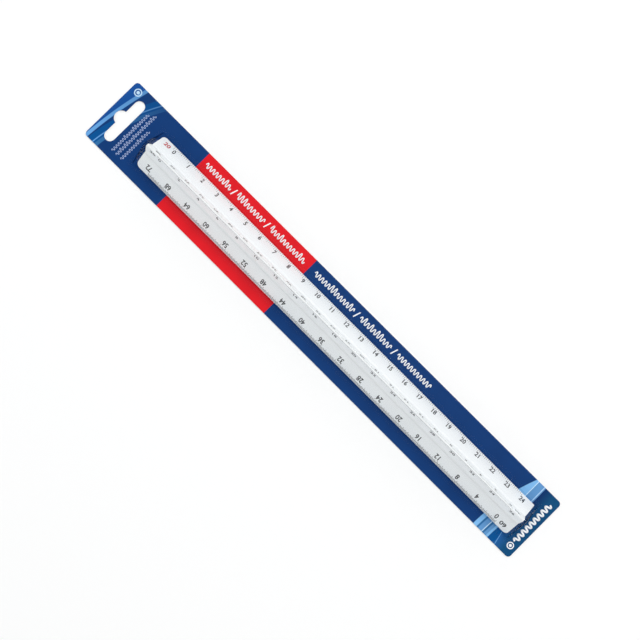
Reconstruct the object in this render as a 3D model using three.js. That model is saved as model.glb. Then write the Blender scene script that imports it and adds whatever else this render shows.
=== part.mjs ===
// A twelve inch triangular engineer's scale, packed for sale on a slim hang card.
// The scale lies on the card with one ridge up, under a clear formed blister that is sealed to the card.
// Frame: millimetres, +Z up. The card lies flat on z = 0 with its centre at the origin.
// +X runs from the hang slot to the foot of the card, and +Y towards the card's wide printed margin.

import * as THREE from 'three';

// Card
const cardLength = 373.6;
const cardWidth = 46.9;
const cardThickness = 0.6;
const cardCornerRadius = 2.4;

// Hang slot in the card: a round-ended bar across it, with a round nose towards the near end
const slotCentreX = -174.4;
const slotWidth = 7.3;
const slotLength = 33.1;
const noseReach = 4.1;
const noseHalfWidth = 4.7;

// Triangular scale
const scaleLength = 325;
const scaleFaceWidth = 25;
const scaleCentreX = 12.9;
const scaleCentreY = -1.6;
const edgeHalfThickness = 0.45;
const edgeChamfer = 0.2;
const flatWidth = 11.3;
const flatTilt = THREE.MathUtils.degToRad(12);
const grooveDepthRadius = 3.3;

// Corner radius of each blade at both ends: the top ridge, the narrow margin's side, the wide margin's side
const slotEndCorners = [2.4, 3.2, 2.4];
const footEndCorners = [2.4, 2.6, 0.6];

// Clear blister: a ridge tent over the scale with a flange all round
const filmThickness = 0.4;
const flangeWidth = 2.5;
const endPlay = 0.8;
const endClearance = 0.3;
const endDrop = 1.6;
const sideClearance = 0.7;
const sideWallDraft = 0.3;
const shoulderHeight = 1.6;
const shoulderRadius = 0.8;
const roofRadius = 1.6;
const roofSlope = THREE.MathUtils.degToRad(60);

// The scale and the blister flange lie this far above the card's face
const restGap = 0.2;

const arcSteps = 8;
const restHeight = cardThickness + restGap;

// Distance from the scale's axis to each of its three measuring edges, and to the plane under two of them
const edgeRadius = scaleFaceWidth / Math.sqrt(3);
const axisHeight = edgeRadius * Math.sin(Math.PI / 6) + edgeHalfThickness * Math.cos(Math.PI / 6);

// Points on the arc from angle start to angle end about centre, both ends included
function arcPoints(centre, radius, start, end, steps) {
  return Array.from({ length: steps + 1 }, (_, i) => {
    const angle = THREE.MathUtils.lerp(start, end, i / steps);
    return new THREE.Vector2(
      centre.x + radius * Math.cos(angle),
      centre.y + radius * Math.sin(angle),
    );
  });
}

// Replaces the corner between two straight runs with a tangent arc
function filletPoints(before, corner, after, radius, steps) {
  const back = before.clone().sub(corner).normalize();
  const ahead = after.clone().sub(corner).normalize();
  const halfAngle = Math.acos(THREE.MathUtils.clamp(back.dot(ahead), -1, 1)) / 2;
  const towardsCentre = back.clone().add(ahead).normalize();
  const centre = corner.clone().addScaledVector(towardsCentre, radius / Math.sin(halfAngle));
  const tangentRun = radius / Math.tan(halfAngle);
  const first = corner.clone().addScaledVector(back, tangentRun).sub(centre);
  const last = corner.clone().addScaledVector(ahead, tangentRun).sub(centre);
  const start = first.angle();
  const turn = Math.atan2(first.cross(last), first.dot(last));
  return arcPoints(centre, radius, start, start + turn, steps);
}

function geometryFrom(points, triangles) {
  const geometry = new THREE.BufferGeometry();
  const positions = points.flatMap((point) => [point.x, point.y, point.z]);
  geometry.setAttribute('position', new THREE.Float32BufferAttribute(positions, 3));
  geometry.setIndex(triangles);
  geometry.computeVertexNormals();
  return geometry;
}

// Card blank: rounded rectangle with the hang slot cut through it
function cardGeometry() {
  const halfLength = cardLength / 2;
  const halfWidth = cardWidth / 2;
  const outline = new THREE.Shape();
  const corners = [
    [halfLength, -halfWidth, -Math.PI / 2],
    [halfLength, halfWidth, 0],
    [-halfLength, halfWidth, Math.PI / 2],
    [-halfLength, -halfWidth, Math.PI],
  ];
  for (const [x, y, start] of corners) {
    const centreX = x - Math.sign(x) * cardCornerRadius;
    const centreY = y - Math.sign(y) * cardCornerRadius;
    outline.absarc(centreX, centreY, cardCornerRadius, start, start + Math.PI / 2, false);
  }
  outline.closePath();

  const slot = new THREE.Path();
  const endRadius = slotWidth / 2;
  const endCentreY = slotLength / 2 - endRadius;
  const noseRadius = (noseReach ** 2 + noseHalfWidth ** 2) / (2 * noseReach);
  const noseCentreX = slotCentreX - endRadius - noseReach + noseRadius;
  const noseAngle = Math.asin(noseHalfWidth / noseRadius);
  slot.absarc(slotCentreX, endCentreY, endRadius, Math.PI, 0, true);
  slot.absarc(slotCentreX, -endCentreY, endRadius, 0, -Math.PI, true);
  slot.absarc(noseCentreX, 0, noseRadius, Math.PI + noseAngle, Math.PI - noseAngle, true);
  slot.closePath();
  outline.holes.push(slot);

  return new THREE.ExtrudeGeometry(outline, {
    depth: cardThickness,
    bevelEnabled: false,
    curveSegments: arcSteps,
  });
}

// One section across the scale, seen from +X, as points (y, z) about its axis.
// Three wedge blades 120 degrees apart. Each has a flat on both sides that carries one set of graduations.
// A narrow round groove runs along the bottom of the valley between neighbouring flats.
// edgeInsets shortens each blade, for its rounded corners at the ends.
function scaleSection(edgeInsets) {
  const points = [];
  const flatRun = flatWidth * Math.cos(flatTilt);
  const flatRise = flatWidth * Math.sin(flatTilt);
  const flatInnerRadial = edgeRadius - edgeChamfer - flatRun;
  const flatInnerSide = edgeHalfThickness + flatRise;
  const chordRadial = Math.hypot(flatInnerRadial, flatInnerSide);
  const flankAngle = Math.atan2(flatInnerSide, flatInnerRadial);
  const halfChordAngle = Math.PI / 3 - flankAngle;
  const halfChord = chordRadial * Math.sin(halfChordAngle);
  const grooveRise = chordRadial * Math.cos(halfChordAngle) - grooveDepthRadius;
  const grooveRadius = (halfChord ** 2 + grooveRise ** 2) / (2 * grooveRise);
  const grooveHalfAngle = Math.asin(halfChord / grooveRadius);

  edgeInsets.forEach((edgeInset, blade) => {
    const bladeAngle = Math.PI / 2 + (blade * 2 * Math.PI) / 3;
    const insetSide = edgeInset * Math.tan(flatTilt);
    const origin = new THREE.Vector2();
    const radialAndSide = [
      [flatInnerRadial, -flatInnerSide],
      [edgeRadius - edgeChamfer - edgeInset, -edgeHalfThickness - insetSide],
      [edgeRadius - edgeInset, -(edgeHalfThickness - edgeChamfer) - insetSide],
      [edgeRadius - edgeInset, edgeHalfThickness - edgeChamfer + insetSide],
      [edgeRadius - edgeChamfer - edgeInset, edgeHalfThickness + insetSide],
      [flatInnerRadial, flatInnerSide],
    ];
    for (const [radial, side] of radialAndSide) {
      points.push(new THREE.Vector2(radial, side).rotateAround(origin, bladeAngle));
    }
    const grooveAngle = bladeAngle + Math.PI / 3;
    const grooveCentre = new THREE.Vector2(grooveDepthRadius + grooveRadius, 0);
    grooveCentre.rotateAround(origin, grooveAngle);
    const start = grooveAngle + Math.PI + grooveHalfAngle;
    const end = grooveAngle + Math.PI - grooveHalfAngle;
    points.push(...arcPoints(grooveCentre, grooveRadius, start, end, arcSteps).slice(1, -1));
  });
  return points;
}

// How far a rounded corner stands back from the blade's edge at this distance from the end
function cornerInset(radius, fromEnd) {
  const intoCorner = Math.max(0, radius - fromEnd);
  return radius - Math.sqrt(radius ** 2 - intoCorner ** 2);
}

// The solid scale: its section carried from end to end, with each blade's corners rounded at both ends
function scaleGeometry() {
  const stations = [];
  const halfLength = scaleLength / 2;
  const roundSteps = 7;
  for (const [side, corners] of [[-1, slotEndCorners], [1, footEndCorners]]) {
    const longest = Math.max(...corners);
    for (let i = 0; i <= roundSteps; i += 1) {
      const fromEnd = longest * (1 - Math.cos((i / roundSteps) * (Math.PI / 2)));
      const edgeInsets = corners.map((radius) => cornerInset(radius, fromEnd));
      stations.push({ x: side * (halfLength - fromEnd), edgeInsets });
    }
  }
  stations.sort((a, b) => a.x - b.x);

  const sections = stations.map((station) => scaleSection(station.edgeInsets));
  const count = sections[0].length;
  const points = stations.flatMap((station, i) =>
    sections[i].map((p) => new THREE.Vector3(station.x, p.x, p.y)),
  );
  const triangles = [];
  for (let i = 0; i < stations.length - 1; i += 1) {
    for (let j = 0; j < count; j += 1) {
      const next = (j + 1) % count;
      const here = i * count;
      const there = here + count;
      triangles.push(here + j, there + next, there + j);
      triangles.push(here + j, here + next, there + next);
    }
  }
  const lastStart = (stations.length - 1) * count;
  for (const [a, b, c] of THREE.ShapeUtils.triangulateShape(sections[0], [])) {
    triangles.push(c, b, a);
    triangles.push(lastStart + a, lastStart + b, lastStart + c);
  }
  return geometryFrom(points, triangles);
}

// Half of the blister's section, from the flange's outer edge up to the roof, as (y, z) with y > 0.
// offset is 0 on the inside of the film and filmThickness on the outside.
function tentHalfSection(offset) {
  const wallHalf = scaleFaceWidth / 2 + sideClearance;
  const flangeHalf = wallHalf + sideWallDraft + filmThickness + flangeWidth;
  const alongRoof = offset / Math.tan((Math.PI / 2 + roofSlope) / 2);
  const foot = new THREE.Vector2(wallHalf + sideWallDraft + offset, offset);
  const shoulder = new THREE.Vector2(wallHalf + offset, shoulderHeight + alongRoof);
  const peak = new THREE.Vector2(0, shoulder.y + shoulder.x * Math.tan(roofSlope));
  const mirrorShoulder = new THREE.Vector2(-shoulder.x, shoulder.y);
  const roofArc = filletPoints(shoulder, peak, mirrorShoulder, roofRadius + offset, arcSteps);
  return [
    new THREE.Vector2(flangeHalf, offset),
    foot,
    ...filletPoints(foot, shoulder, peak, shoulderRadius + offset, arcSteps / 2),
    ...roofArc.slice(0, arcSteps / 2 + 1),
  ];
}

// The blister's whole surface on one side of its film, as rows of points along X
function tentRows(offset) {
  const half = tentHalfSection(offset);
  const otherHalf = half.slice(0, -1).reverse().map((p) => new THREE.Vector2(-p.x, p.y));
  const section = [...half, ...otherHalf];
  const fullHalf = scaleLength / 2 + endPlay + endClearance;
  const drop = endDrop - filmThickness + offset;
  const edgeHalf = fullHalf + endDrop + flangeWidth;
  const dropSteps = 6;
  const ends = [{ x: edgeHalf, rise: 0 }];
  for (let i = 0; i <= dropSteps; i += 1) {
    const angle = (i / dropSteps) * (Math.PI / 2);
    ends.push({ x: fullHalf + drop * Math.cos(angle), rise: Math.sin(angle) });
  }
  const farEnds = [...ends].reverse().map(({ x, rise }) => ({ x: -x, rise }));
  return [...ends, ...farEnds].map(({ x, rise }) =>
    section.map((p) => new THREE.Vector3(x, p.x, offset + (p.y - offset) * rise)),
  );
}

// The blister: outer and inner skins of the formed film, joined round the flange's edge
function blisterGeometry() {
  const outer = tentRows(filmThickness);
  const inner = tentRows(0);
  const rows = outer.length;
  const columns = outer[0].length;
  const points = [...outer.flat(), ...inner.flat()];
  const innerStart = rows * columns;
  const triangles = [];
  const quad = (a, b, c, d) => triangles.push(a, c, b, a, d, c);
  for (let i = 0; i < rows - 1; i += 1) {
    for (let j = 0; j < columns - 1; j += 1) {
      const a = i * columns + j;
      const b = a + columns;
      quad(a, a + 1, b + 1, b);
      quad(innerStart + a, innerStart + b, innerStart + b + 1, innerStart + a + 1);
    }
  }
  for (let i = 0; i < rows - 1; i += 1) {
    const near = i * columns;
    const far = near + columns - 1;
    quad(near, near + columns, innerStart + near + columns, innerStart + near);
    quad(far, innerStart + far, innerStart + far + columns, far + columns);
  }
  for (let j = 0; j < columns - 1; j += 1) {
    const last = (rows - 1) * columns + j;
    quad(j, innerStart + j, innerStart + j + 1, j + 1);
    quad(last, last + 1, innerStart + last + 1, innerStart + last);
  }
  return geometryFrom(points, triangles);
}

function piece(name, geometry, material) {
  const mesh = new THREE.Mesh(geometry, new THREE.MeshStandardMaterial(material));
  mesh.name = name;
  return mesh;
}

const hangCard = piece('hang_card', cardGeometry(), {
  color: 0x1c3c74,
  roughness: 0.35,
  metalness: 0,
});

const triangularScale = piece('triangular_scale', scaleGeometry(), {
  color: 0xeff1f2,
  roughness: 0.4,
  metalness: 0,
});
triangularScale.position.set(scaleCentreX, scaleCentreY, restHeight + axisHeight);

const clearBlister = piece('clear_blister', blisterGeometry(), {
  color: 0xffffff,
  roughness: 0.08,
  metalness: 0,
  transparent: true,
  opacity: 0.2,
});
clearBlister.position.set(scaleCentreX, scaleCentreY, restHeight);

const group = new THREE.Group();
group.add(hangCard, triangularScale, clearBlister);

export default group;
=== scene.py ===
import math

import bmesh
import bpy
from mathutils import Matrix, Vector


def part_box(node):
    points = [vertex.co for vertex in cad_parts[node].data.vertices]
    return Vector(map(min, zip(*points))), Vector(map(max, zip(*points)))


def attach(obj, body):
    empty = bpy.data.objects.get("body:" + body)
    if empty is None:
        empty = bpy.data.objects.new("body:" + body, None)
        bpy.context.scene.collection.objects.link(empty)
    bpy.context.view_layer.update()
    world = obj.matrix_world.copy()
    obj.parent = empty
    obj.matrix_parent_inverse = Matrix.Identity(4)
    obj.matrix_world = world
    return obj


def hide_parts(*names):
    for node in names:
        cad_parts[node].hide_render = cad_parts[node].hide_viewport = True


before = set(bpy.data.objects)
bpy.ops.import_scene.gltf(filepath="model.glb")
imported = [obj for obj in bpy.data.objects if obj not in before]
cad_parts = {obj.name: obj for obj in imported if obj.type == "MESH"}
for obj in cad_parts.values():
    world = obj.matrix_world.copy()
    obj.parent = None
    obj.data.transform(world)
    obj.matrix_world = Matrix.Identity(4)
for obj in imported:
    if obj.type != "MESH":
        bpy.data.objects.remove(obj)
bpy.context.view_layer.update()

mm = 0.001

cardLow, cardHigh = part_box("hang_card")
scaleLow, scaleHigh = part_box("triangular_scale")
filmLow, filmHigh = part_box("clear_blister")
cardTop = cardHigh.z
scaleMiddle = (scaleLow + scaleHigh) / 2


# camera, lights and the floor

cameraView = {
    "turn": 45.07,             # degrees between the picture's right and the card's long axis
    "leanToFoot": 3.6,         # degrees off the card's normal, towards its foot
    "leanToNarrow": 3.2,       # and towards its narrow margin
    "distance": 1.05,
    "lens": 94.9,
    "aim": (1.1, -1.6, 0.0),   # mm from the card's centre
}

studio = {
    "floorColour": (0.975, 0.975, 0.975),
    "floorSize": 6.0,
    "floorDrop": 0.00005,      # keeps it clear of the card's underside
    "horizonGlow": 1.0,
    "zenithGlow": 0.35,
    "keyPower": 14.0,
    "keySize": 0.8,
    "keyColour": (1.0, 1.0, 1.0),
    "keyAt": (0.0, 0.9, 1.68),
    "fillPower": 4.0,
    "fillSize": 1.6,
    "fillColour": (0.88, 1.0, 1.0),
    "fillAt": (-0.6, -1.7, 0.9),
}


def makeCamera():
    turn = math.radians(cameraView["turn"])
    back = Vector((
        math.sin(math.radians(cameraView["leanToFoot"])),
        -math.sin(math.radians(cameraView["leanToNarrow"])),
        1.0,
    )).normalized()
    right = Vector((math.cos(turn), math.sin(turn), 0))
    right = (right - back * right.dot(back)).normalized()
    up = back.cross(right)
    data = bpy.data.cameras.new("studioCamera")
    data.lens = cameraView["lens"]
    data.clip_start = 0.05
    data.clip_end = 50
    camera = bpy.data.objects.new("studioCamera", data)
    camera.location = Vector(cameraView["aim"]) * mm + back * cameraView["distance"]
    camera.rotation_mode = "QUATERNION"
    camera.rotation_quaternion = Matrix((right, up, back)).transposed().to_quaternion()
    bpy.context.scene.collection.objects.link(camera)
    bpy.context.scene.camera = camera


def makeSoftbox(name, place, size, power, colour):
    data = bpy.data.lights.new(name, "AREA")
    data.color = colour
    data.shape = "DISK"
    data.size = size
    data.energy = power
    lamp = bpy.data.objects.new(name, data)
    lamp.location = place
    lamp.rotation_mode = "QUATERNION"
    lamp.rotation_quaternion = (-Vector(place)).to_track_quat("-Z", "Y")
    bpy.context.scene.collection.objects.link(lamp)


def makeWorld():
    world = bpy.data.worlds.new("softRoom")
    bpy.context.scene.world = world
    world.use_nodes = True
    nodes, links = world.node_tree.nodes, world.node_tree.links
    background = nodes["Background"]
    place = nodes.new("ShaderNodeTexCoord")
    split = nodes.new("ShaderNodeSeparateXYZ")
    ramp = nodes.new("ShaderNodeMapRange")
    ramp.interpolation_type = "SMOOTHSTEP"
    ramp.inputs["From Min"].default_value = 0.45
    ramp.inputs["From Max"].default_value = 0.97
    ramp.inputs["To Min"].default_value = studio["horizonGlow"]
    ramp.inputs["To Max"].default_value = studio["zenithGlow"]
    links.new(place.outputs["Generated"], split.inputs["Vector"])
    links.new(split.outputs["Z"], ramp.inputs["Value"])
    links.new(ramp.outputs["Result"], background.inputs["Strength"])
    background.inputs["Color"].default_value = (1, 1, 1, 1)


def makeFloor():
    mesh = bpy.data.meshes.new("studioFloor")
    half = studio["floorSize"] / 2
    corners = [(-half, -half), (half, -half), (half, half), (-half, half)]
    mesh.from_pydata([(x, y, -studio["floorDrop"]) for x, y in corners], [], [(0, 1, 2, 3)])
    floor = bpy.data.objects.new("studioFloor", mesh)
    bpy.context.scene.collection.objects.link(floor)
    material = bpy.data.materials.new("paleFloor")
    material.use_nodes = True
    shader = material.node_tree.nodes["Principled BSDF"]
    shader.inputs["Base Color"].default_value = (*studio["floorColour"], 1)
    shader.inputs["Roughness"].default_value = 0.9
    shader.inputs["Specular IOR Level"].default_value = 0.1
    mesh.materials.append(material)


def makeStudio():
    makeCamera()
    makeWorld()
    makeFloor()
    for name in ("key", "fill"):
        makeSoftbox(name + "Softbox", studio[name + "At"], studio[name + "Size"],
                    studio[name + "Power"], studio[name + "Colour"])
    bpy.context.scene.view_settings.view_transform = "Standard"
    print("studio ready")


# helpers for meshes

def linked(name, mesh):
    piece = bpy.data.objects.new(name, mesh)
    bpy.context.scene.collection.objects.link(piece)
    return piece


def joined(name, meshes):
    together = bmesh.new()
    for mesh in meshes:
        together.from_mesh(mesh)
    result = bpy.data.meshes.new(name)
    together.to_mesh(result)
    together.free()
    for material in (meshes[0].materials if meshes else ()):
        result.materials.append(material)
    for mesh in meshes:
        bpy.data.meshes.remove(mesh)
    return result


def plainMesh(source):
    bpy.context.view_layer.update()
    graph = bpy.context.evaluated_depsgraph_get()
    return bpy.data.meshes.new_from_object(source.evaluated_get(graph))


def slabFromOutline(name, outline, holes, low, high, easing=0):
    curve = bpy.data.curves.new(name, "CURVE")
    curve.dimensions = "2D"
    curve.fill_mode = "BOTH"
    for points in [outline, *holes]:
        spline = curve.splines.new("POLY")
        spline.points.add(len(points) - 1)
        for knot, (x, y) in zip(spline.points, points):
            knot.co = (x, y, 0, 1)
        spline.use_cyclic_u = True
    curve.extrude = (high - low) / 2
    source = linked(name, curve)
    mesh = plainMesh(source)
    bpy.data.objects.remove(source)
    mesh.transform(Matrix.Translation((0, 0, (low + high) / 2)))
    tidy = bmesh.new()
    tidy.from_mesh(mesh)
    bmesh.ops.remove_doubles(tidy, verts=tidy.verts, dist=1e-7)
    bmesh.ops.recalc_face_normals(tidy, faces=tidy.faces)
    if easing:
        rim = [edge for edge in tidy.edges if edge.calc_face_angle(0) > 1.0]
        bmesh.ops.bevel(tidy, geom=rim, offset=easing, segments=2, affect="EDGES", profile=0.5)
    tidy.to_mesh(mesh)
    tidy.free()
    return mesh


def arcPoints(centre, radius, start, end, steps):
    angles = [math.radians(start + (end - start) * i / steps) for i in range(steps + 1)]
    return [(centre[0] + radius * math.cos(a), centre[1] + radius * math.sin(a)) for a in angles]


# helpers for materials

def newMaterial(name):
    material = bpy.data.materials.new(name)
    material.use_nodes = True
    return material, material.node_tree, material.node_tree.nodes["Principled BSDF"]


def addNode(tree, kind, values=(), **settings):
    node = tree.nodes.new("ShaderNode" + kind)
    for key, value in settings.items():
        setattr(node, key, value)
    for key, value in dict(values).items():
        if hasattr(value, "is_output"):
            tree.links.new(value, node.inputs[key])
        else:
            node.inputs[key].default_value = value
    return node


def mathNode(tree, operation, *values, clamp=False):
    node = addNode(tree, "Math", dict(enumerate(values)), operation=operation, use_clamp=clamp)
    return node.outputs[0]


def mixColour(tree, factor, first, second, blend="MIX"):
    node = addNode(tree, "Mix", {0: factor, 6: first, 7: second}, data_type="RGBA", blend_type=blend)
    return node.outputs[2]


def startGroup(name, inputs, outputs):
    tree = bpy.data.node_groups.new(name, "ShaderNodeTree")
    for label, kind, value in inputs:
        socket = tree.interface.new_socket(label, in_out="INPUT", socket_type="NodeSocket" + kind)
        if value is not None:
            socket.default_value = value
    for label, kind in outputs:
        tree.interface.new_socket(label, in_out="OUTPUT", socket_type="NodeSocket" + kind)
    return tree, tree.nodes.new("NodeGroupInput"), tree.nodes.new("NodeGroupOutput")


# fine relief and slow unevenness of a surface, along stretched coordinates
def surfaceGrainGroup():
    tree, inside, out = startGroup(
        "surfaceGrain",
        [
            ("Vector", "Vector", None),
            ("Stretch", "Vector", (1, 1, 1)),
            ("Grain Size", "Float", 0.3 * mm),
            ("Cloud Size", "Float", 20 * mm),
        ],
        [("Grain", "Float"), ("Cloud", "Float")],
    )
    pulled = addNode(
        tree, "VectorMath", {0: inside.outputs["Vector"], 1: inside.outputs["Stretch"]},
        operation="MULTIPLY",
    ).outputs["Vector"]
    fineScale = mathNode(tree, "DIVIDE", 1.0, inside.outputs["Grain Size"])
    cloudScale = mathNode(tree, "DIVIDE", 1.0, inside.outputs["Cloud Size"])
    fine = addNode(tree, "TexNoise", {"Vector": pulled, "Scale": fineScale, "Detail": 3.0})
    cloud = addNode(tree, "TexNoise", {"Vector": pulled, "Scale": cloudScale, "Detail": 2.0})
    tree.links.new(fine.outputs["Fac"], out.inputs["Grain"])
    tree.links.new(cloud.outputs["Fac"], out.inputs["Cloud"])
    return tree


# one printed stripe that follows a large circle, counted inwards from its rim
def arcStripeGroup():
    tree, inside, out = startGroup(
        "arcStripe",
        [
            ("Vector", "Vector", None),
            ("Centre", "Vector", (0, 0, 0)),
            ("Radius", "Float", 0.1),
            ("From", "Float", 0.0),
            ("To", "Float", 0.01),
            ("Softness", "Float", 0.0002),
        ],
        [("Mask", "Float")],
    )
    apart = addNode(
        tree, "VectorMath", {0: inside.outputs["Vector"], 1: inside.outputs["Centre"]},
        operation="SUBTRACT",
    ).outputs["Vector"]
    flat = addNode(tree, "VectorMath", {0: apart, 1: (1, 1, 0)}, operation="MULTIPLY").outputs["Vector"]
    length = addNode(tree, "VectorMath", {0: flat}, operation="LENGTH").outputs["Value"]
    inwards = mathNode(tree, "SUBTRACT", inside.outputs["Radius"], length)
    edges = []
    for label in ("From", "To"):
        past = mathNode(tree, "SUBTRACT", inwards, inside.outputs[label])
        share = mathNode(tree, "DIVIDE", past, inside.outputs["Softness"])
        edges.append(mathNode(tree, "ADD", share, 0.5, clamp=True))
    stripe = mathNode(tree, "SUBTRACT", *edges, clamp=True)
    alongX = addNode(tree, "SeparateXYZ", {"Vector": flat}).outputs["X"]
    nearSide = mathNode(tree, "LESS_THAN", alongX, 0.0)
    tree.links.new(mathNode(tree, "MULTIPLY", stripe, nearSide), out.inputs["Mask"])
    return tree


def placedGroup(tree, group, values):
    node = tree.nodes.new("ShaderNodeGroup")
    node.node_tree = group
    for key, value in values.items():
        if hasattr(value, "is_output"):
            tree.links.new(value, node.inputs[key])
        else:
            node.inputs[key].default_value = value
    return node


def bump(tree, shader, height, distance, strength=1.0):
    node = addNode(tree, "Bump", {"Height": height, "Distance": distance, "Strength": strength})
    tree.links.new(node.outputs["Normal"], shader.inputs["Normal"])


def rescale(tree, value, low, high):
    return addNode(tree, "MapRange", {"Value": value, "From Min": 0.3, "From Max": 0.7,
                                      "To Min": low, "To Max": high}).outputs["Result"]


surfaceGrain = surfaceGrainGroup()
arcStripe = arcStripeGroup()


# the printed hang card

cardSizes = {
    "cornerRadius": 2.4,
    "slotCentre": 12.4,       # from the card's slot end
    "slotWidth": 7.3,
    "slotLength": 33.1,
    "noseReach": 4.1,
    "noseHalfWidth": 4.7,
    "edgeEasing": 0.06,
}

# the printed inks, as the share of red, green and blue out of 255
inkShades = {
    "deepBlue": (13, 58, 117),
    "signalRed": (227, 27, 38),
    "skyBlue": (128, 186, 236),
    "softSky": (97, 151, 205),
    "dullSky": (50, 110, 165),
    "paleLine": (196, 226, 252),
    "strongBlue": (0, 82, 148),
    "endBlue": (36, 96, 163),
    "navy": (4, 44, 100),
    "tealBlue": (13, 75, 120),
    "arcSky": (104, 166, 226),
    "arcBlue": (20, 78, 152),
    "lavender": (150, 166, 204),
    "paleSky": (176, 206, 226),
    "white": (238, 241, 247),
}


def linearShade(shade):
    parts = [part / 255 for part in shade]
    return tuple(p / 12.92 if p <= 0.04045 else ((p + 0.055) / 1.055) ** 2.4 for p in parts) + (1,)


inks = {name: linearShade(shade) for name, shade in inkShades.items()}

# distances are in mm from the named end of the card. Stripes run inwards from the rim of a large circle,
# whose nearest point is at place and across, and fade towards the wide margin by the share given last
cardPrint = {
    "redField": (64.7, 160.1),
    "slotRims": [
        {
            "place": -0.3, "across": -42.0, "radius": 278.0,
            "stripes": [
                ("arcBlue", -9.0, 0.0, 0.0),
                ("arcSky", 0.0, 2.3, 0.35),
            ],
        },
        {
            "place": 6.3, "across": -35.5, "radius": 120.0,
            "stripes": [
                ("strongBlue", -3.6, 0.0, 0.35),
                ("arcSky", 0.0, 0.75, 0.55),
                ("strongBlue", 0.75, 1.9, 0.6),
                ("dullSky", 1.9, 4.3, 0.75),
            ],
        },
    ],
    "footRim": {"place": 30.3, "across": -25.0, "radius": 131.0},
    "footNarrowStripes": [
        ("skyBlue", 0.0, 2.9),
        ("dullSky", 2.9, 4.0),
        ("softSky", 4.0, 6.9),
        ("paleLine", 6.9, 7.5),
        ("dullSky", 7.5, 8.7),
        ("softSky", 8.7, 10.6),
        ("skyBlue", 10.6, 12.2),
        ("strongBlue", 12.2, 30.0),
    ],
    "footWideStripes": [("skyBlue", 0.0, 20.0)],
    # straight bands over them, from the foot end
    "footWideBands": [
        ("softSky", 13.0, 19.6),
        ("paleLine", 19.1, 19.6),
        ("paleLine", 14.1, 14.5),
    ],
    "footBlock": 13.3,
    "footBlockBlend": 7.0,     # from its start to its end colour
    "footBlockFade": (-4.0, -18.0),   # lightens between these distances across
    "footLine": {"place": 14.0, "across": -14.5, "lean": -0.22, "width": 0.5},
}


def cardOutline():
    radius = cardSizes["cornerRadius"] * mm
    outline = []
    for signX, signY, start in ((1, -1, -90), (1, 1, 0), (-1, 1, 90), (-1, -1, 180)):
        x = (cardHigh.x if signX > 0 else cardLow.x) - signX * radius
        y = (cardHigh.y if signY > 0 else cardLow.y) - signY * radius
        outline += arcPoints((x, y), radius, start, start + 90, 10)
    return outline


def slotOutline():
    radius = cardSizes["slotWidth"] / 2 * mm
    x = cardLow.x + cardSizes["slotCentre"] * mm
    reachY = cardSizes["slotLength"] / 2 * mm - radius
    reach = cardSizes["noseReach"] * mm
    half = cardSizes["noseHalfWidth"] * mm
    noseRadius = (reach ** 2 + half ** 2) / (2 * reach)
    noseX = x - radius - reach + noseRadius
    noseAngle = math.degrees(math.asin(half / noseRadius))
    return (
        arcPoints((x, reachY), radius, 180, 0, 18)
        + arcPoints((x, -reachY), radius, 0, -180, 18)
        + arcPoints((noseX, 0), noseRadius, 180 + noseAngle, 180 - noseAngle, 14)
    )


# mask of one printed stripe along a rim
def rimStripe(tree, place, rim, end, near, far):
    radius = rim["radius"] * mm
    edge = cardHigh.x - rim["place"] * mm if end == "foot" else cardLow.x + rim["place"] * mm
    return placedGroup(tree, arcStripe, {
        "Vector": place, "Centre": (edge + radius, rim["across"] * mm, 0), "Radius": radius,
        "From": near * mm, "To": far * mm, "Softness": 0.3 * mm,
    }).outputs["Mask"]


def slotEndPrint(tree, place, y, colour):
    lift = addNode(tree, "MapRange", {
        "Value": y, "From Min": cardLow.y, "From Max": cardHigh.y,
    }).outputs["Result"]
    for rim in cardPrint["slotRims"]:
        for ink, near, far, fade in rim["stripes"]:
            mask = rimStripe(tree, place, rim, "slot", near, far)
            kept = mathNode(tree, "MULTIPLY_ADD", lift, -fade, 1.0)
            colour = mixColour(tree, mathNode(tree, "MULTIPLY", mask, kept), colour, inks[ink])
    return colour


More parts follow.
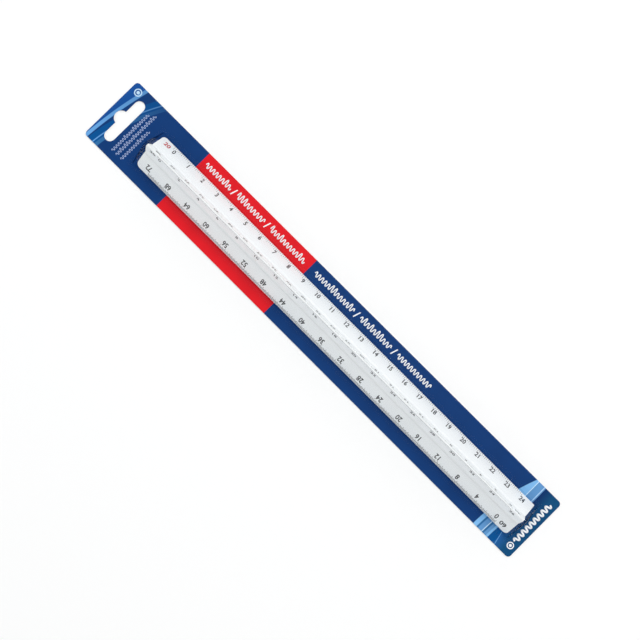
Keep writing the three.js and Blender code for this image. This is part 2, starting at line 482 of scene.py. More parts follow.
def footEndPrint(tree, place, x, y, colour):
    wideSide = mathNode(tree, "GREATER_THAN", y, 0.0)
    narrowSide = mathNode(tree, "SUBTRACT", 1.0, wideSide)
    for stripes, side in (("footWideStripes", wideSide), ("footNarrowStripes", narrowSide)):
        for ink, near, far in cardPrint[stripes]:
            mask = rimStripe(tree, place, cardPrint["footRim"], "foot", near, far)
            colour = mixColour(tree, mathNode(tree, "MULTIPLY", mask, side), colour, inks[ink])
    for ink, near, far in cardPrint["footWideBands"]:
        pastFar = mathNode(tree, "GREATER_THAN", x, cardHigh.x - far * mm)
        beforeNear = mathNode(tree, "LESS_THAN", x, cardHigh.x - near * mm)
        band = mathNode(tree, "MULTIPLY", mathNode(tree, "MULTIPLY", pastFar, beforeNear), wideSide)
        colour = mixColour(tree, band, colour, inks[ink])
    blockStart = cardHigh.x - cardPrint["footBlock"] * mm
    inBlock = mathNode(tree, "GREATER_THAN", x, blockStart)
    outwards = addNode(tree, "MapRange", {
        "Value": x, "From Min": blockStart, "From Max": blockStart + cardPrint["footBlockBlend"] * mm,
    }).outputs["Result"]
    fadeStart, fadeEnd = (d * mm for d in cardPrint["footBlockFade"])
    downwards = addNode(tree, "MapRange", {
        "Value": y, "From Min": fadeStart, "From Max": fadeEnd,
    }).outputs["Result"]
    block = mixColour(tree, downwards, inks["navy"], inks["endBlue"])
    block = mixColour(tree, outwards, block, inks["tealBlue"])
    colour = mixColour(tree, inBlock, colour, block)
    line = cardPrint["footLine"]
    along = mathNode(tree, "MULTIPLY_ADD", y, -line["lean"], line["lean"] * line["across"] * mm)
    along = mathNode(tree, "ADD", along, x)
    apart = mathNode(tree, "SUBTRACT", along, cardHigh.x - line["place"] * mm)
    onLine = mathNode(tree, "LESS_THAN", mathNode(tree, "ABSOLUTE", apart), line["width"] / 2 * mm)
    low = mathNode(tree, "LESS_THAN", y, line["across"] * mm)
    return mixColour(tree, mathNode(tree, "MULTIPLY", onLine, low), colour, inks["softSky"])


def printedCardMaterial():
    material, tree, shader = newMaterial("printedBlisterBoard")
    place = addNode(tree, "TexCoord").outputs["Object"]
    axes = addNode(tree, "SeparateXYZ", {"Vector": place})
    x, y = axes.outputs["X"], axes.outputs["Y"]
    start, end = (cardLow.x + d * mm for d in cardPrint["redField"])
    inField = mathNode(
        tree, "MULTIPLY", mathNode(tree, "GREATER_THAN", x, start), mathNode(tree, "LESS_THAN", x, end)
    )
    colour = mixColour(tree, inField, inks["deepBlue"], inks["signalRed"])
    colour = slotEndPrint(tree, place, y, colour)
    colour = footEndPrint(tree, place, x, y, colour)
    grain = placedGroup(tree, surfaceGrain, {
        "Vector": place, "Grain Size": 0.25 * mm, "Cloud Size": 18 * mm,
    })
    tone = rescale(tree, grain.outputs["Cloud"], 0.95, 1.05)
    shade = addNode(tree, "CombineXYZ", {"X": tone, "Y": tone, "Z": tone}).outputs["Vector"]
    colour = mixColour(tree, 1.0, colour, shade, blend="MULTIPLY")
    tree.links.new(colour, shader.inputs["Base Color"])
    tree.links.new(rescale(tree, grain.outputs["Grain"], 0.28, 0.38), shader.inputs["Roughness"])
    shader.inputs["Specular IOR Level"].default_value = 0.12
    bump(tree, shader, grain.outputs["Grain"], 0.01 * mm, 0.6)
    return material


def boardEdgeMaterial():
    material, tree, shader = newMaterial("rawBoardEdge")
    place = addNode(tree, "TexCoord").outputs["Object"]
    grain = placedGroup(tree, surfaceGrain, {
        "Vector": place, "Stretch": (1, 1, 6), "Grain Size": 0.12 * mm, "Cloud Size": 5 * mm,
    })
    colour = mixColour(tree, grain.outputs["Grain"], (0.42, 0.42, 0.42, 1), (0.70, 0.69, 0.66, 1))
    tree.links.new(colour, shader.inputs["Base Color"])
    shader.inputs["Roughness"].default_value = 0.85
    bump(tree, shader, grain.outputs["Grain"], 0.05 * mm)
    return material


def boardBackMaterial():
    material, tree, shader = newMaterial("uncoatedBoardBack")
    place = addNode(tree, "TexCoord").outputs["Object"]
    grain = placedGroup(tree, surfaceGrain, {
        "Vector": place, "Stretch": (0.35, 1, 1), "Grain Size": 0.2 * mm, "Cloud Size": 6 * mm,
    })
    colour = mixColour(tree, grain.outputs["Cloud"], (0.60, 0.61, 0.61, 1), (0.74, 0.74, 0.72, 1))
    tree.links.new(colour, shader.inputs["Base Color"])
    shader.inputs["Roughness"].default_value = 0.8
    bump(tree, shader, grain.outputs["Grain"], 0.03 * mm)
    return material


def makeCard():
    mesh = slabFromOutline("printed_card", cardOutline(), [slotOutline()], cardLow.z, cardTop,
                           cardSizes["edgeEasing"] * mm)
    for material in (printedCardMaterial(), boardEdgeMaterial(), boardBackMaterial()):
        mesh.materials.append(material)
    for face in mesh.polygons:
        face.material_index = 0 if face.normal.z > 0.5 else 2 if face.normal.z < -0.5 else 1
    card = linked("printed_card", mesh)
    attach(card, "card")
    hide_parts("hang_card")
    print("card ready")


# the triangular scale

scaleSizes = {
    "faceWidth": 25.0,
    "edgeHalf": 0.45,
    "edgeChamfer": 0.2,
    "chamferBulge": 0.35,      # rounds the chamfer, as a share of it
    "flatWidth": 11.3,
    "flatTilt": 12.0,          # degrees between a flat and the middle of its blade
    "grooveDepthRadius": 3.3,
    "slotEndCorners": (2.4, 3.2, 2.4),   # ridge, narrow margin's side, wide margin's side
    "footEndCorners": (2.4, 2.6, 0.6),
    "graduatedLength": 304.8,
}

edgeRadius = scaleSizes["faceWidth"] / math.sqrt(3)
axisPlace = Vector((scaleMiddle.x, scaleMiddle.y, scaleHigh.z - edgeRadius * mm))


# one section about the scale's axis, as (y, z) in mm; insets shorten the three blades
def scaleSection(insets, grooveSteps=12):
    tilt = math.radians(scaleSizes["flatTilt"])
    half, chamfer = scaleSizes["edgeHalf"], scaleSizes["edgeChamfer"]
    bulge = scaleSizes["chamferBulge"] * chamfer
    innerRadial = edgeRadius - chamfer - scaleSizes["flatWidth"] * math.cos(tilt)
    innerSide = half + scaleSizes["flatWidth"] * math.sin(tilt)
    reach = math.hypot(innerRadial, innerSide)
    halfGap = math.pi / 3 - math.atan2(innerSide, innerRadial)
    halfChord = reach * math.sin(halfGap)
    rise = reach * math.cos(halfGap) - scaleSizes["grooveDepthRadius"]
    grooveRadius = (halfChord ** 2 + rise ** 2) / (2 * rise)
    grooveHalf = math.degrees(math.asin(halfChord / grooveRadius))
    grooveCentre = scaleSizes["grooveDepthRadius"] + grooveRadius
    points = []
    for blade, inset in enumerate(insets):
        wider = inset * math.tan(tilt)
        tip = [
            (edgeRadius - chamfer - inset, half + wider),
            (edgeRadius - bulge - inset, half - bulge + wider),
            (edgeRadius - inset, half - chamfer + wider),
        ]
        oneBlade = [(innerRadial, -innerSide)]
        oneBlade += [(r, -s) for r, s in tip]
        oneBlade += [(r, s) for r, s in reversed(tip)]
        oneBlade += [(innerRadial, innerSide)]
        turn = math.radians(90 + 120 * blade)
        for radial, side in oneBlade:
            points.append((
                radial * math.cos(turn) - side * math.sin(turn),
                radial * math.sin(turn) + side * math.cos(turn),
            ))
        middle = turn + math.pi / 3
        centre = (grooveCentre * math.cos(middle), grooveCentre * math.sin(middle))
        away = math.degrees(middle) + 180
        points += arcPoints(centre, grooveRadius, away + grooveHalf, away - grooveHalf, grooveSteps)[1:-1]
    return points


# how far a rounded corner stands back from the blade's edge at this distance from the end
def cornerInset(radius, fromEnd):
    intoCorner = max(0, radius - fromEnd)
    return radius - math.sqrt(radius ** 2 - intoCorner ** 2)


def scaleBodyMesh():
    halfLength = (scaleHigh.x - scaleLow.x) / 2 / mm
    steps = 14
    stations = []
    for side, corners in ((-1, scaleSizes["slotEndCorners"]), (1, scaleSizes["footEndCorners"])):
        for i in range(steps + 1):
            fromEnd = max(corners) * (1 - math.cos(i / steps * math.pi / 2))
            insets = [cornerInset(radius, fromEnd) for radius in corners]
            stations.append((side * (halfLength - fromEnd), insets))
    stations.sort()
    body = bmesh.new()
    rings = []
    for x, insets in stations:
        ring = [body.verts.new(axisPlace + Vector((x, y, z)) * mm) for y, z in scaleSection(insets)]
        rings.append(ring)
    for ring, following in zip(rings, rings[1:]):
        for j in range(len(ring)):
            k = (j + 1) % len(ring)
            body.faces.new((ring[j], ring[k], following[k], following[j]))
    body.faces.new(list(reversed(rings[0])))
    body.faces.new(rings[-1])
    bmesh.ops.recalc_face_normals(body, faces=body.faces)
    mesh = bpy.data.meshes.new("scale_body")
    body.to_mesh(mesh)
    body.free()
    mesh.shade_smooth()
    mesh.set_sharp_from_angle(angle=math.radians(28))
    return mesh


plasticFinish = {
    "darkest": (0.87, 0.88, 0.882, 1),
    "lightest": (0.93, 0.932, 0.93, 1),
    "roughness": (0.34, 0.46),
    "specular": 0.45,
}


def whitePlasticMaterial():
    material, tree, shader = newMaterial("whiteScalePlastic")
    place = addNode(tree, "TexCoord").outputs["Object"]
    along = placedGroup(tree, surfaceGrain, {
        "Vector": place, "Stretch": (0.03, 1, 1), "Grain Size": 0.35 * mm, "Cloud Size": 3 * mm,
    })
    overall = placedGroup(tree, surfaceGrain, {
        "Vector": place, "Grain Size": 0.18 * mm, "Cloud Size": 35 * mm,
    })
    colour = mixColour(tree, overall.outputs["Cloud"], plasticFinish["darkest"], plasticFinish["lightest"])
    tree.links.new(colour, shader.inputs["Base Color"])
    roughness = rescale(tree, along.outputs["Cloud"], *plasticFinish["roughness"])
    tree.links.new(roughness, shader.inputs["Roughness"])
    shader.inputs["Specular IOR Level"].default_value = plasticFinish["specular"]
    height = mathNode(tree, "ADD", along.outputs["Grain"], overall.outputs["Grain"])
    bump(tree, shader, height, 0.012 * mm, 0.7)
    return material


def inkMaterial(name, colour, roughness=0.5):
    material, tree, shader = newMaterial(name)
    place = addNode(tree, "TexCoord").outputs["Object"]
    grain = placedGroup(tree, surfaceGrain, {
        "Vector": place, "Grain Size": 0.1 * mm, "Cloud Size": 4 * mm,
    })
    lighter = tuple(min(1.0, c * 1.25 + 0.02) for c in colour[:3]) + (1,)
    mixed = mixColour(tree, grain.outputs["Cloud"], colour, lighter)
    tree.links.new(mixed, shader.inputs["Base Color"])
    tree.links.new(rescale(tree, grain.outputs["Grain"], roughness - 0.08, roughness + 0.08),
                   shader.inputs["Roughness"])
    bump(tree, shader, grain.outputs["Grain"], 0.005 * mm, 0.5)
    return material


def makeScaleBody():
    mesh = scaleBodyMesh()
    mesh.materials.append(whitePlasticMaterial())
    body = linked("scale_body", mesh)
    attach(body, "scale")
    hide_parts("triangular_scale")
    print("scale body ready")


# the graduations and numbers, six scales on three faces

# blade 0 is the top ridge, 1 the edge on the narrow margin's side, 2 the edge on the wide margin's side;
# side is 1 on the blade's left as seen from its own edge towards the foot end, and -1 on its right;
# numberPlace is from the edge, along the flat
scaleRows = {
    "20": {"blade": 2, "side": 1, "parts": 20, "numberEvery": 10, "numberStep": 1,
           "numberPlace": 4.3, "numberHeight": 3.8},
    "40": {"blade": 0, "side": -1, "parts": 40, "numberEvery": 20, "numberStep": 2,
           "numberPlace": 4.9, "numberHeight": 4.0},
    "30": {"blade": 0, "side": 1, "parts": 30, "numberEvery": 20, "numberStep": 2,
           "numberPlace": 4.9, "numberHeight": 4.0},
    "60": {"blade": 1, "side": -1, "parts": 60, "numberEvery": 40, "numberStep": 4,
           "numberPlace": 5.2, "numberHeight": 4.1},
    "10": {"blade": 1, "side": 1, "parts": 10, "numberEvery": 10, "numberStep": 1,
           "numberPlace": 5.2, "numberHeight": 4.1},
    "50": {"blade": 2, "side": -1, "parts": 50, "numberEvery": 20, "numberStep": 2,
           "numberPlace": 5.2, "numberHeight": 4.1},
}

markSizes = {
    "lineWidth": 0.17,
    "inkHeight": 0.03,
    "sunk": 0.012,
    "startInset": 0.1,
    "longLine": 2.7,
    "halfLine": 2.2,
    "shortLine": 1.7,
    "numberAhead": 1.9,        # from its line to its middle, in the reading direction
    "capShare": 0.73,          # height of a number as a share of the built-in letter's size
    "numberWidth": 0.76,       # against the built-in letter
    "numberWeight": 0.13,      # added all round its strokes
    "nameHeight": 3.2,
    "nameWidth": 1.1,
    "namePlace": 4.2,
    "nameAhead": -4.2,         # from the zero line
}


# frame of one flat: x in the reading direction, y up the flat to its edge, z out of it,
# with its origin on the edge at the scale's zero line
def flatFrame(blade, side):
    tilt = math.radians(scaleSizes["flatTilt"])
    turn = math.radians(90 + 120 * blade)
    radial = Vector((0, math.cos(turn), math.sin(turn)))
    across = Vector((0, -math.sin(turn), math.cos(turn))) * side
    up = radial * math.cos(tilt) - across * math.sin(tilt)
    out = across * math.cos(tilt) + radial * math.sin(tilt)
    reading = up.cross(out)
    edge = axisPlace + radial * (edgeRadius - scaleSizes["edgeChamfer"]) * mm
    edge += across * scaleSizes["edgeHalf"] * mm
    origin = edge - reading * scaleSizes["graduatedLength"] / 2 * mm
    turned = Matrix((reading, up, out)).transposed().to_4x4()
    return Matrix.Translation(origin) @ turned


def addGeometryNode(tree, kind, values=(), **settings):
    node = tree.nodes.new(kind)
    for key, value in settings.items():
        setattr(node, key, value)
    for key, value in dict(values).items():
        if hasattr(value, "is_output"):
            tree.links.new(value, node.inputs[key])
        else:
            node.inputs[key].default_value = value
    return node


def startGeometryTree(name, inputs):
    tree = bpy.data.node_groups.new(name, "GeometryNodeTree")
    tree.interface.new_socket("Geometry", in_out="INPUT", socket_type="NodeSocketGeometry")
    for label, kind, value in inputs:
        socket = tree.interface.new_socket(label, in_out="INPUT", socket_type="NodeSocket" + kind)
        if value is not None:
            socket.default_value = value
    tree.interface.new_socket("Geometry", in_out="OUTPUT", socket_type="NodeSocketGeometry")
    return tree, tree.nodes.new("NodeGroupInput").outputs, tree.nodes.new("NodeGroupOutput")


# a row of ruled lines standing on the x axis and running down -y, long, half and short by their number
def graduationTree():
    tree, given, out = startGeometryTree("graduationRow", [
        ("Count", "Int", 121),
        ("Pitch", "Float", 2.54 * mm),
        ("Line Width", "Float", 0.16 * mm),
        ("Ink Height", "Float", 0.03 * mm),
        ("Start", "Vector", (0, 0, 0)),
        ("Long Every", "Int", 10),
        ("Half Every", "Int", 5),
        ("Long Line", "Float", 3.3 * mm),
        ("Half Line", "Float", 2.5 * mm),
        ("Short Line", "Float", 1.7 * mm),
        ("Ink", "Material", None),
    ])
    step = addGeometryNode(tree, "ShaderNodeCombineXYZ", {"X": given["Pitch"]}).outputs[0]
    line = addGeometryNode(tree, "GeometryNodeMeshLine", {
        "Count": given["Count"], "Start Location": given["Start"], "Offset": step,
    })
    number = addGeometryNode(tree, "GeometryNodeInputIndex").outputs[0]

    def isMultiple(every):
        rest = addGeometryNode(tree, "ShaderNodeMath", {0: number, 1: every}, operation="MODULO").outputs[0]
        return addGeometryNode(tree, "ShaderNodeMath", {0: rest, 1: 0.5}, operation="LESS_THAN").outputs[0]

    shorter = addGeometryNode(tree, "GeometryNodeSwitch", {
        "Switch": isMultiple(given["Half Every"]),
        "False": given["Short Line"], "True": given["Half Line"],
    }, input_type="FLOAT").outputs[0]
    length = addGeometryNode(tree, "GeometryNodeSwitch", {
        "Switch": isMultiple(given["Long Every"]), "False": shorter, "True": given["Long Line"],
    }, input_type="FLOAT").outputs[0]
    size = addGeometryNode(tree, "ShaderNodeCombineXYZ", {
        "X": given["Line Width"], "Y": length, "Z": given["Ink Height"],
    }).outputs[0]
    block = addGeometryNode(tree, "GeometryNodeMeshCube", {"Size": (1, 1, 1)}).outputs["Mesh"]
    hung = addGeometryNode(tree, "GeometryNodeTransform", {
        "Geometry": block, "Translation": (0, -0.5, 0.5),
    }).outputs[0]
    placed = addGeometryNode(tree, "GeometryNodeInstanceOnPoints", {
        "Points": line.outputs[0], "Instance": hung, "Scale": size,
    }).outputs[0]
    real = addGeometryNode(tree, "GeometryNodeRealizeInstances", {"Geometry": placed}).outputs[0]
    inked = addGeometryNode(tree, "GeometryNodeSetMaterial", {
        "Geometry": real, "Material": given["Ink"],
    }).outputs[0]
    tree.links.new(inked, out.inputs[0])
    return tree


def grown(tree, values):
    holder = linked("holder", bpy.data.meshes.new("holder"))
    modifier = holder.modifiers.new("grow", "NODES")
    modifier.node_group = tree
    sockets = {i.name: i.identifier for i in tree.interface.items_tree if i.in_out == "INPUT"}
    for label, value in values.items():
        modifier[sockets[label]] = value
    mesh = plainMesh(holder)
    bpy.data.objects.remove(holder)
    return mesh


# a number as filled letters with a flat line of ink round them, which makes its strokes heavier
def numberMesh(text, height, width, ink):
    layers = []
    for fill, weight in (("BOTH", 0.0), ("NONE", markSizes["numberWeight"])):
        curve = bpy.data.curves.new("number", "FONT")
        curve.body = text
        curve.align_x = "CENTER"
        curve.align_y = "CENTER"
        curve.size = height * mm / markSizes["capShare"]
        curve.resolution_u = 3
        curve.fill_mode = fill
        curve.bevel_depth = weight * mm
        curve.bevel_resolution = 0
        curve.extrude = 0 if weight else markSizes["inkHeight"] / 2 * mm
        source = linked("number", curve)
        mesh = plainMesh(source)
        bpy.data.objects.remove(source)
        if weight:
            mesh.transform(Matrix.Diagonal((1, 1, markSizes["inkHeight"] / 2 / weight, 1)))
        mesh.materials.clear()
        mesh.materials.append(ink)
        layers.append(mesh)
    mesh = joined("number", layers)
    mesh.transform(Matrix.Diagonal((width, 1, 1, 1)))
    mesh.transform(Matrix.Translation((0, 0, (markSizes["inkHeight"] / 2 - markSizes["sunk"]) * mm)))
    return mesh


def makeMarks():
    blackInk = inkMaterial("blackScaleInk", (0.004, 0.004, 0.005, 1))
    redInk = inkMaterial("redScaleInk", (0.50, 0.02, 0.02, 1))
    tree = graduationTree()
    for name, row in scaleRows.items():
        place = flatFrame(row["blade"], row["side"])
        inches = 12
        count = inches * row["parts"]
        pitch = scaleSizes["graduatedLength"] / count
        lines = grown(tree, {
            "Count": count + 1,
            "Pitch": pitch * mm,
            "Line Width": min(markSizes["lineWidth"], 0.4 * pitch) * mm,
            "Ink Height": markSizes["inkHeight"] * mm,
            "Start": (0, -markSizes["startInset"] * mm, -markSizes["sunk"] * mm),
            "Long Every": 10,
            "Half Every": 5,
            "Long Line": markSizes["longLine"] * mm,
            "Half Line": markSizes["halfLine"] * mm,
            "Short Line": markSizes["shortLine"] * mm,
            "Ink": blackInk,
        })
        lines.transform(place)
        graduations = linked("graduations_" + name, lines)
        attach(graduations, "scale")
        labels = []
        for k in range(count // row["numberEvery"] + 1):
            label = numberMesh(str(k * row["numberStep"]), row["numberHeight"],
                               markSizes["numberWidth"], blackInk)
            x = k * row["numberEvery"] * pitch + markSizes["numberAhead"]
            label.transform(Matrix.Translation((x * mm, -row["numberPlace"] * mm, 0)))
            labels.append(label)
        numbers = joined("numbers_" + name, labels)
        numbers.transform(place)
        numbersPiece = linked("numbers_" + name, numbers)
        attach(numbersPiece, "scale")
        title = numberMesh(name, markSizes["nameHeight"], markSizes["nameWidth"],
                           redInk if name == "20" else blackInk)
        title.transform(Matrix.Translation((markSizes["nameAhead"] * mm, -markSizes["namePlace"] * mm, 0)))
        title.transform(place)
        titlePiece = linked("name_" + name, title)
        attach(titlePiece, "scale")
    print("graduations ready")


# generic print on the card: a wavy line where each word would be, and two plain ring discs

# each run is (first, last) in mm from the card's slot end
wordLines = {
    "middle": 17.0,
    "height": 3.7,
    "tallHeight": 5.0,
    "waveLength": 2.75,
    "lineWidth": 0.72,
    "words": [(68.3, 90.2), (96.0, 119.6), (125.6, 155.5), (165.0, 198.8), (204.9, 231.2), (237.5, 265.8)],
    "slashes": [93.0, 122.4, 201.7, 234.4],
    "slashLean": 1.6,
    "slashWidth": 0.8,
    "smallColumns": [(20.2, -18.6, 13.4), (24.0, -18.6, 16.0), (28.1, -18.6, 6.1)],
    "smallHeight": 2.1,
    "smallTall": 2.8,
    "smallWave": 1.9,
    "smallWidth": 0.42,
    "bigColumn": (4.4, -13.2, 17.8),   # from the foot end
    "bigHeight": 4.2,
    "bigWave": 3.5,
    "bigWidth": 1.2,
    "inkHeight": 0.02,
    "sunk": 0.004,
}

discShares = {"eye": 0.72, "core": 0.42}

plainDiscs = [
    {"end": "slot", "along": 5.4, "across": 18.7, "radius": 2.6, "ink": "paleSky"},
    {"end": "foot", "along": 4.5, "across": -17.0, "radius": 2.3, "ink": "white"},
]


# a flat wavy line along x; some of its upper bends reach higher, as tall letters do
def squiggleTree():
    tree, given, out = startGeometryTree("squiggleRow", [
        ("Length", "Float", 20 * mm),
        ("Wave Length", "Float", 2.7 * mm),
        ("Line Width", "Float", 0.7 * mm),
        ("Height", "Float", 3.7 * mm),
        ("Tall Height", "Float", 5.0 * mm),
        ("Tall Share", "Float", 0.3),
        ("Squareness", "Float", 0.62),
        ("Ink Height", "Float", 0.02 * mm),
        ("Seed", "Int", 0),
        ("Ink", "Material", None),
    ])

    def calc(operation, *values):
        node = addGeometryNode(tree, "ShaderNodeMath", dict(enumerate(values)), operation=operation)
        return node.outputs[0]

    waves = calc("DIVIDE", given["Length"], given["Wave Length"])
    end = addGeometryNode(tree, "ShaderNodeCombineXYZ", {"X": given["Length"]}).outputs[0]
    line = addGeometryNode(tree, "GeometryNodeCurvePrimitiveLine", {"End": end}).outputs[0]
    fine = addGeometryNode(tree, "GeometryNodeResampleCurve", {
        "Curve": line, "Count": calc("MULTIPLY", waves, 20.0),
    }).outputs[0]
    place = addGeometryNode(tree, "GeometryNodeInputPosition").outputs[0]
    along = addGeometryNode(tree, "ShaderNodeSeparateXYZ", {"Vector": place}).outputs["X"]
    turns = calc("DIVIDE", along, given["Wave Length"])
    swing = calc("SINE", calc("MULTIPLY", turns, 2 * math.pi))
    shaped = calc("POWER", calc("ABSOLUTE", swing), given["Squareness"])
    chance = addGeometryNode(tree, "FunctionNodeRandomValue", {
        "ID": calc("FLOOR", turns), "Seed": given["Seed"],
    }, data_type="FLOAT").outputs[1]
    half = calc("MULTIPLY", calc("SUBTRACT", given["Height"], given["Line Width"]), 0.5)
    tallReach = calc("ADD", half, calc("SUBTRACT", given["Tall Height"], given["Height"]))
    isChosen = calc("LESS_THAN", chance, given["Tall Share"])
    isTall = calc("MULTIPLY", isChosen, calc("GREATER_THAN", swing, 0.0))
    reach = addGeometryNode(tree, "GeometryNodeSwitch", {
        "Switch": isTall, "False": half, "True": tallReach,
    }, input_type="FLOAT").outputs[0]
    across = calc("MULTIPLY", calc("MULTIPLY", shaped, calc("SIGN", swing)), reach)
    where = addGeometryNode(tree, "ShaderNodeCombineXYZ", {"X": along, "Y": across}).outputs[0]
    wave = addGeometryNode(tree, "GeometryNodeSetPosition", {"Geometry": fine, "Position": where}).outputs[0]
    level = addGeometryNode(tree, "GeometryNodeSetCurveNormal", {"Curve": wave}, mode="Z_UP").outputs[0]
    nib = addGeometryNode(tree, "GeometryNodeCurvePrimitiveQuadrilateral", {
        "Width": given["Line Width"], "Height": given["Ink Height"],
    }).outputs[0]
    solid = addGeometryNode(tree, "GeometryNodeCurveToMesh", {
        "Curve": level, "Profile Curve": nib, "Fill Caps": True,
    }).outputs[0]
    real = addGeometryNode(tree, "GeometryNodeRealizeInstances", {"Geometry": solid}).outputs[0]
    inked = addGeometryNode(tree, "GeometryNodeSetMaterial", {
        "Geometry": real, "Material": given["Ink"],
    }).outputs[0]
    tree.links.new(inked, out.inputs[0])
    return tree


def squiggle(tree, ink, length, wave, width, height, tall, seed):
    return grown(tree, {
        "Length": length * mm,
        "Wave Length": length / max(1, round(length / wave * 2) / 2) * mm,
        "Line Width": width * mm,
        "Height": height * mm,
        "Tall Height": tall * mm,
        "Ink Height": wordLines["inkHeight"] * mm,
        "Seed": seed,
        "Ink": ink,
    })


def printPiece(name, meshes):
    piece = linked(name, joined(name, meshes))
    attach(piece, "card")


def makeCardMarks():
    whiteInk = inkMaterial("whitePrintInk", inks["white"], 0.4)
    softInk = inkMaterial("lavenderPrintInk", inks["lavender"], 0.4)
    paleInk = inkMaterial("paleSkyPrintInk", inks["paleSky"], 0.4)
    tree = squiggleTree()
    low = cardTop - wordLines["sunk"] * mm
    surface = low + wordLines["inkHeight"] / 2 * mm
    middle = wordLines["middle"] * mm
    words = []
    for seed, (start, end) in enumerate(wordLines["words"]):
        word = squiggle(tree, whiteInk, end - start, wordLines["waveLength"], wordLines["lineWidth"],
                        wordLines["height"], wordLines["tallHeight"], seed)
        word.transform(Matrix.Translation((cardLow.x + start * mm, middle, surface)))
        words.append(word)
    side = wordLines["slashWidth"] / 2 * mm
    reach = wordLines["tallHeight"] / 2 * mm
    for place in wordLines["slashes"]:
        slash = slabFromOutline("slash", [
            (-side, -reach), (side, -reach), (side, reach), (-side, reach),
        ], [], 0, wordLines["inkHeight"] * mm)
        lean = Matrix.Identity(4)
        lean[0][1] = wordLines["slashLean"] / wordLines["tallHeight"]
        slash.transform(Matrix.Translation((cardLow.x + place * mm, middle, low)) @ lean)
        slash.materials.clear()
        slash.materials.append(whiteInk)
        words.append(slash)
    printPiece("margin_words", words)

    quarterTurn = Matrix.Rotation(math.pi / 2, 4, "Z")
    columns = []
    for seed, (along, start, end) in enumerate(wordLines["smallColumns"]):
        row = squiggle(tree, softInk, end - start, wordLines["smallWave"], wordLines["smallWidth"],
                       wordLines["smallHeight"], wordLines["smallTall"], 20 + seed)
        row.transform(Matrix.Translation((cardLow.x + along * mm, start * mm, surface)) @ quarterTurn)
        columns.append(row)
    printPiece("slot_end_lines", columns)

    along, start, end = wordLines["bigColumn"]
    row = squiggle(tree, whiteInk, end - start, wordLines["bigWave"], wordLines["bigWidth"],
                   wordLines["bigHeight"], wordLines["bigHeight"], 40)
    row.transform(Matrix.Translation((cardHigh.x - along * mm, start * mm, surface)) @ quarterTurn)
    printPiece("foot_end_line", [row])

    for disc in plainDiscs:
        x = cardLow.x + disc["along"] * mm if disc["end"] == "slot" else cardHigh.x - disc["along"] * mm
        centre = (x, disc["across"] * mm)
        rim = arcPoints(centre, disc["radius"] * mm, 0, 350, 35)
        eye = arcPoints(centre, disc["radius"] * discShares["eye"] * mm, 0, 345, 23)
        core = arcPoints(centre, disc["radius"] * discShares["core"] * mm, 0, 340, 17)
        rings = []
        for outline, holes in ((rim, [eye]), (core, [])):
            mesh = slabFromOutline("disc", outline, holes, low, low + wordLines["inkHeight"] * mm)
            mesh.materials.clear()
            mesh.materials.append(paleInk if disc["ink"] == "paleSky" else whiteInk)
            rings.append(mesh)
        printPiece(disc["end"] + "_end_disc", rings)
    print("card marks ready")


# the clear blister

filmSizes = {
    "thickness": 0.4,
    "flangeWidth": 2.5,
    "endRoom": 1.1,            # past each end of the scale before the end wall starts to fall
    "endDrop": 1.6,
    "sideClearance": 0.7,
    "sideWallDraft": 0.3,
    "shoulderHeight": 1.6,
    "shoulderRadius": 0.8,
    "roofRadius": 1.6,
    "roofSlope": 60.0,
    "flangeCorner": 2.0,
    "flangeLip": 0.02,
    "glareFacing": 0.003,      # share of light the film throws back, seen square on and at its edges
    "glareAtEdge": 0.15,
    "glareFalloff": 4.5,
    "clearFacing": (0.993, 0.997, 1.0, 1),
    "clearAtEdge": (0.60, 0.68, 0.74, 1),
}


def filletPoints(before, corner, after, radius, steps):
    back = (before - corner).normalized()
    ahead = (after - corner).normalized()
    halfAngle = back.angle(ahead) / 2
    centre = corner + (back + ahead).normalized() * (radius / math.sin(halfAngle))
    run = radius / math.tan(halfAngle)
    first = corner + back * run - centre
    last = corner + ahead * run - centre
    turn = math.atan2(first.x * last.y - first.y * last.x, first.dot(last))
    start = math.degrees(math.atan2(first.y, first.x))
    return [Vector(p) for p in arcPoints(centre, radius, start, start + math.degrees(turn), steps)]


# rows of points over one side of the film; offset is 0 inside and the film's thickness outside
def tentRows(offset):
    slope = math.radians(filmSizes["roofSlope"])
    thickness = filmSizes["thickness"]
    wallHalf = scaleSizes["faceWidth"] / 2 + filmSizes["sideClearance"]
    footHalf = wallHalf + filmSizes["sideWallDraft"]
    flangeHalf = footHalf + thickness + filmSizes["flangeWidth"]
    lift = offset / math.tan((math.pi / 2 + slope) / 2)
    foot = Vector((footHalf + offset, offset))
    shoulder = Vector((wallHalf + offset, filmSizes["shoulderHeight"] + lift))
    peak = Vector((0, shoulder.y + shoulder.x * math.tan(slope)))
    mirrored = Vector((-shoulder.x, shoulder.y))
    roof = filletPoints(shoulder, peak, mirrored, filmSizes["roofRadius"] + offset, 16)
    half = [Vector((flangeHalf, offset)), Vector((flangeHalf - filmSizes["flangeLip"], offset)), foot]
    half += filletPoints(foot, shoulder, peak, filmSizes["shoulderRadius"] + offset, 8)
    half += roof[:9]
    section = half + [Vector((-p.x, p.y)) for p in reversed(half[:-1])]
    fullHalf = (scaleHigh.x - scaleLow.x) / 2 / mm + filmSizes["endRoom"]
    drop = filmSizes["endDrop"] - thickness + offset
    edgeHalf = fullHalf + filmSizes["endDrop"] + filmSizes["flangeWidth"]
    ends = [(edgeHalf, 0.0)]
    for i in range(13):
        angle = i / 12 * math.pi / 2
        ends.append((fullHalf + drop * math.cos(angle), math.sin(angle)))
    stations = ends + [(-x, rise) for x, rise in reversed(ends)]
    origin = Vector((scaleMiddle.x, scaleMiddle.y, filmLow.z))
    return [
        [origin + Vector((x, p.x, offset + (p.y - offset) * rise)) * mm for p in section]
        for x, rise in stations
    ]


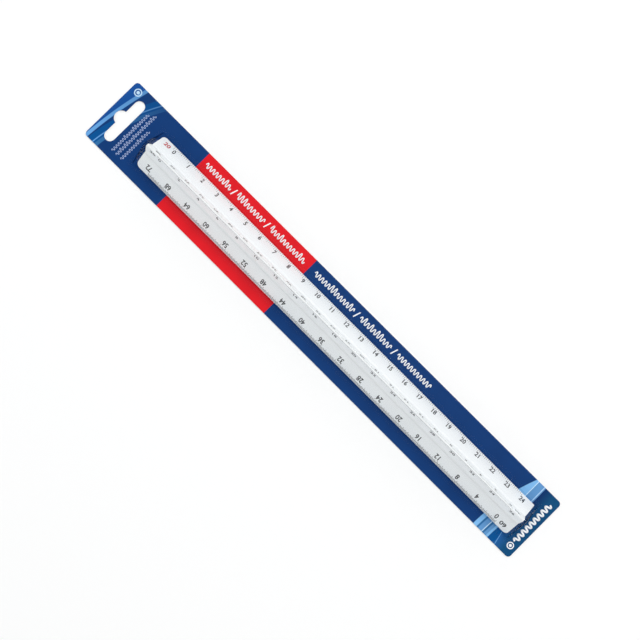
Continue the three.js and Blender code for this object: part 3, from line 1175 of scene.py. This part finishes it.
def filmMesh():
    film = bmesh.new()
    sides = []
    for offset in (filmSizes["thickness"], 0.0):
        sides.append([[film.verts.new(point) for point in row] for row in tentRows(offset)])
    outer, inner = sides
    for grid in sides:
        for row, following in zip(grid, grid[1:]):
            for j in range(len(row) - 1):
                film.faces.new((row[j], row[j + 1], following[j + 1], following[j]))
    for i in range(len(outer) - 1):
        for j in (0, -1):
            film.faces.new((outer[i][j], outer[i + 1][j], inner[i + 1][j], inner[i][j]))
    for j in range(len(outer[0]) - 1):
        for i in (0, -1):
            film.faces.new((outer[i][j], outer[i][j + 1], inner[i][j + 1], inner[i][j]))
    film.verts.ensure_lookup_table()
    posts = []
    for i in (0, -1):
        for j in (0, -1):
            top, bottom = outer[i][j], inner[i][j]
            posts += [edge for edge in top.link_edges if edge.other_vert(top) is bottom]
    bmesh.ops.bevel(film, geom=posts, offset=filmSizes["flangeCorner"] * mm, segments=6,
                    affect="EDGES", profile=0.5)
    bmesh.ops.recalc_face_normals(film, faces=film.faces)
    mesh = bpy.data.meshes.new("blister_film")
    film.to_mesh(mesh)
    film.free()
    mesh.shade_smooth()
    mesh.set_sharp_from_angle(angle=math.radians(40))
    return mesh


def clearFilmMaterial():
    material, tree, shader = newMaterial("clearBlisterFilm")
    place = addNode(tree, "TexCoord").outputs["Object"]
    grain = placedGroup(tree, surfaceGrain, {
        "Vector": place, "Grain Size": 6 * mm, "Cloud Size": 30 * mm,
    })
    shader.inputs["Base Color"].default_value = (0.95, 0.97, 1.0, 1)
    shader.inputs["Metallic"].default_value = 1.0
    tree.links.new(rescale(tree, grain.outputs["Cloud"], 0.05, 0.10), shader.inputs["Roughness"])
    bump(tree, shader, grain.outputs["Grain"], 0.25 * mm, 0.08)
    facing = addNode(tree, "LayerWeight", {"Blend": 0.5}).outputs["Facing"]
    steep = mathNode(tree, "POWER", facing, filmSizes["glareFalloff"])
    through = mixColour(tree, steep, filmSizes["clearFacing"], filmSizes["clearAtEdge"])
    clear = addNode(tree, "BsdfTransparent", {"Color": through})
    glare = mathNode(tree, "MULTIPLY_ADD", steep, filmSizes["glareAtEdge"], filmSizes["glareFacing"])
    mix = addNode(tree, "MixShader", {
        0: glare, 1: clear.outputs[0], 2: shader.outputs[0],
    })
    tree.links.new(mix.outputs[0], tree.nodes["Material Output"].inputs["Surface"])
    return material


def makeBlister():
    mesh = filmMesh()
    mesh.materials.append(clearFilmMaterial())
    film = linked("blister_film", mesh)
    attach(film, "blister")
    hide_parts("clear_blister")
    print("blister ready")


makeStudio()
makeCard()
makeCardMarks()
makeScaleBody()
makeMarks()
makeBlister()
